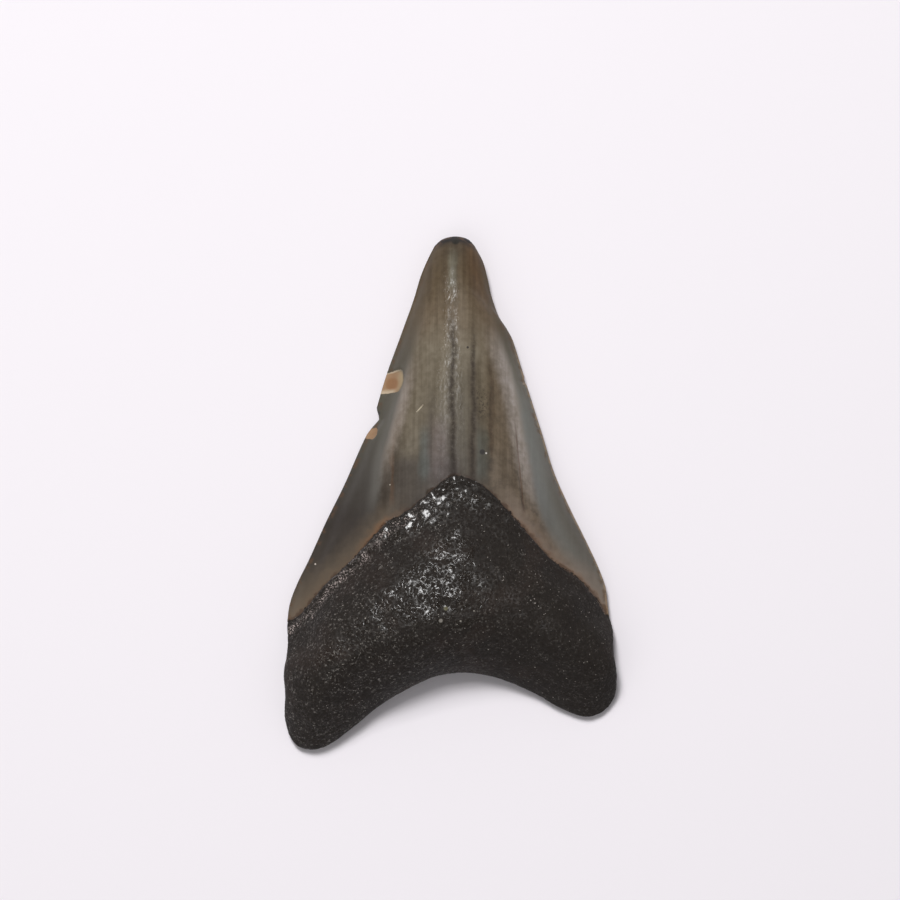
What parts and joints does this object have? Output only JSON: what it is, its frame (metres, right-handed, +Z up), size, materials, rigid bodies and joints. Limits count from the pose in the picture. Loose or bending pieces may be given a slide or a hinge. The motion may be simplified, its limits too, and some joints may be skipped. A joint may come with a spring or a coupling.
{
  "type": "fossil megalodon tooth",
  "caption": "Worn fossil shark tooth with a smooth tapering crown and a dark, pitted, two-lobed root, lying on its flat face.",
  "frame": {"origin": "on the resting plane, under the middle of the tooth's bounding box", "axes": "+Y towards the tip of the crown, +Z up out of the bulging lingual face, +X to the right with the tip pointing away"},
  "size_m": [0.0429, 0.067, 0.0132],
  "materials": {
    "fossil": "satin"
  },
  "bodies": {
    "root": {"tooth": "fossil"}
  },
  "joints": []
}
